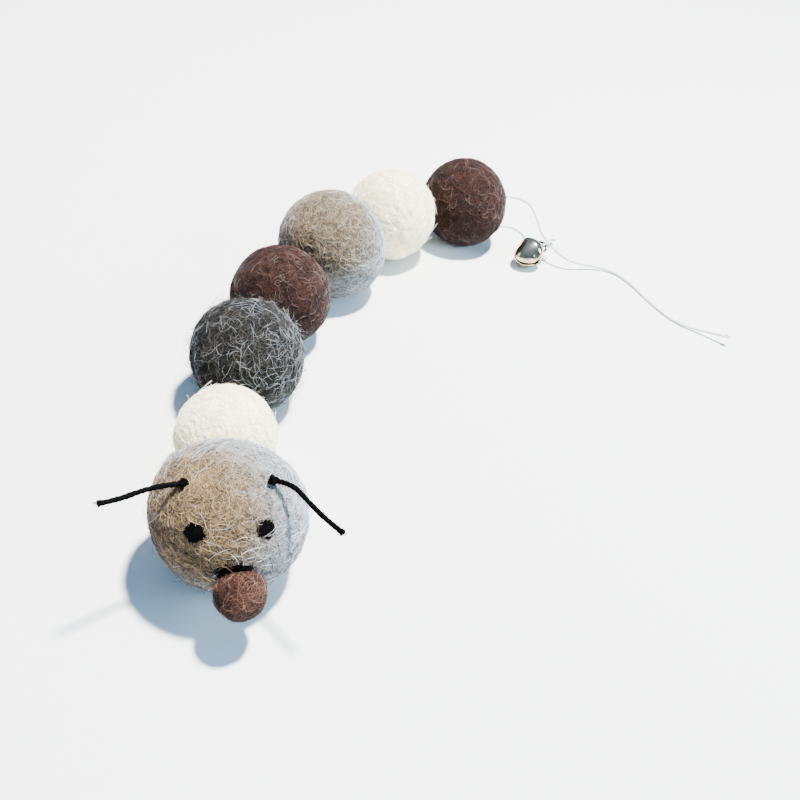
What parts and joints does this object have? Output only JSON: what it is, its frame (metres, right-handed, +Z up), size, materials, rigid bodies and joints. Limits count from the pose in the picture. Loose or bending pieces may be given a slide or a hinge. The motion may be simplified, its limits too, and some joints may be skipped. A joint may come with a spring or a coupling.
{
  "type": "felt ball mouse toy",
  "caption": "Toy mouse made of felted wool balls threaded on one cord, with a small nose, black wool eyes, two waxed-cord whiskers, and a cord tail that carries a jingle bell.",
  "frame": {"origin": "on the ground, under the middle of the box around the balls, the nose and the whiskers, without the tail", "axes": "+Z up; +Y from the head towards the tail end of the chain, the head looking towards -Y; +X to the side that the chain and its tail curve to"},
  "size_m": [0.1421, 0.1714, 0.031],
  "materials": {
    "felt_tan": "needle-felted wool, tan with grey",
    "felt_ivory": "needle-felted wool, ivory",
    "felt_charcoal": "needle-felted wool, charcoal with pale fibres",
    "felt_brown": "needle-felted wool, reddish brown with pale fibres",
    "felt_oatmeal": "needle-felted wool, light grey-beige",
    "felt_nose": "needle-felted wool, dark brown",
    "wool_black": "loose black wool, needled in",
    "cord_black": "braided and waxed, black",
    "cord_white": "waxed, white",
    "nickel": "bright nickel plate, a little tarnished",
    "steel": "plain steel shot"
  },
  "bodies": {
    "head": {"head_ball": "felt_tan", "nose_ball": "felt_nose", "nose_tuft": "wool_black", "eye_left": "wool_black", "eye_right": "wool_black", "whisker_thread": "cord_black", "whisker_knot_left": "cord_black", "whisker_knot_right": "cord_black", "string_core_head": "cord_white", "start_knot": "cord_white"},
    "whisker_left": {"whisker_left": "cord_black"},
    "whisker_right": {"whisker_right": "cord_black"},
    "link_1": {"string_link_1": "cord_white"},
    "white_ball_front": {"white_ball_front": "felt_ivory", "string_core_1": "cord_white"},
    "link_2": {"string_link_2": "cord_white"},
    "charcoal_ball": {"charcoal_ball": "felt_charcoal", "string_core_2": "cord_white"},
    "link_3": {"string_link_3": "cord_white"},
    "brown_ball_front": {"brown_ball_front": "felt_brown", "string_core_3": "cord_white"},
    "link_4": {"string_link_4": "cord_white"},
    "beige_ball": {"beige_ball": "felt_oatmeal", "string_core_4": "cord_white"},
    "link_5": {"string_link_5": "cord_white"},
    "white_ball_rear": {"white_ball_rear": "felt_ivory", "string_core_5": "cord_white"},
    "link_6": {"string_link_6": "cord_white"},
    "brown_ball_rear": {"brown_ball_rear": "felt_brown", "string_core_6": "cord_white", "stop_knot": "cord_white", "tail_cord": "cord_white", "bell_hitch": "cord_white", "tail_end_knot": "cord_white"},
    "bell": {"bell_shell": "nickel", "bell_loop": "nickel"},
    "pellet": {"bell_pellet": "steel"}
  },
  "joints": [
    {"name": "bend_1_yaw", "type": "hinge", "parent": "head", "child": "link_1", "pos_m": [-0.02007, -0.05093, 0.0125], "axis": [0, 0, 1], "range_deg": [-18, 18]},
    {"name": "bend_1_pitch", "type": "hinge", "parent": "link_1", "child": "white_ball_front", "pos_m": [-0.02007, -0.05093, 0.0125], "axis": [0.9632, 0.2689, 0], "range_deg": [-12, 12]},
    {"name": "bend_2_yaw", "type": "hinge", "parent": "white_ball_front", "child": "link_2", "pos_m": [-0.02344, -0.02922, 0.01184], "axis": [0, 0, 1], "range_deg": [-18, 18]},
    {"name": "bend_2_pitch", "type": "hinge", "parent": "link_2", "child": "charcoal_ball", "pos_m": [-0.02344, -0.02922, 0.01184], "axis": [0.9993, 0.0366, 0], "range_deg": [-12, 12]},
    {"name": "bend_3_yaw", "type": "hinge", "parent": "charcoal_ball", "child": "link_3", "pos_m": [-0.0225, -0.00247, 0.01269], "axis": [0, 0, 1], "range_deg": [-18, 18]},
    {"name": "bend_3_pitch", "type": "hinge", "parent": "link_3", "child": "brown_ball_front", "pos_m": [-0.0225, -0.00247, 0.01269], "axis": [0.9943, -0.1063, 0], "range_deg": [-12, 12]},
    {"name": "bend_4_yaw", "type": "hinge", "parent": "brown_ball_front", "child": "link_4", "pos_m": [-0.0167, 0.02191, 0.01305], "axis": [0, 0, 1], "range_deg": [-18, 18]},
    {"name": "bend_4_pitch", "type": "hinge", "parent": "link_4", "child": "beige_ball", "pos_m": [-0.0167, 0.02191, 0.01305], "axis": [0.9354, -0.3535, 0], "range_deg": [-12, 12]},
    {"name": "bend_5_yaw", "type": "hinge", "parent": "beige_ball", "child": "link_5", "pos_m": [-0.00415, 0.0473, 0.01327], "axis": [0, 0, 1], "range_deg": [-18, 18]},
    {"name": "bend_5_pitch", "type": "hinge", "parent": "link_5", "child": "white_ball_rear", "pos_m": [-0.00415, 0.0473, 0.01327], "axis": [0.849, -0.5284, 0], "range_deg": [-12, 12]},
    {"name": "bend_6_yaw", "type": "hinge", "parent": "white_ball_rear", "child": "link_6", "pos_m": [0.01354, 0.06571, 0.0127], "axis": [0, 0, 1], "range_deg": [-18, 18]},
    {"name": "bend_6_pitch", "type": "hinge", "parent": "link_6", "child": "brown_ball_rear", "pos_m": [0.01354, 0.06571, 0.0127], "axis": [0.5621, -0.8271, 0], "range_deg": [-12, 12]},
    {"name": "whisker_left_sweep", "type": "hinge", "parent": "head", "child": "whisker_left", "pos_m": [-0.02343, -0.07026, 0.0277], "axis": [-0.4718, -0.3134, 0.8241], "range_deg": [-25, 25]},
    {"name": "whisker_right_sweep", "type": "hinge", "parent": "head", "child": "whisker_right", "pos_m": [-0.00782, -0.06642, 0.02807], "axis": [0.5255, -0.0683, 0.848], "range_deg": [-25, 25]},
    {"name": "bell_swing", "type": "hinge", "parent": "brown_ball_rear", "child": "bell", "pos_m": [0.0507, 0.06669, 0.00557], "axis": [0.6526, -0.6316, -0.4186], "range_deg": [-60, 60]},
    {"name": "pellet_roll", "type": "hinge", "parent": "bell", "child": "pellet", "pos_m": [0.04601, 0.06269, 0.0043], "axis": [0.6494, -0.7604, 0], "range_deg": [-40, 40]}
  ]
}
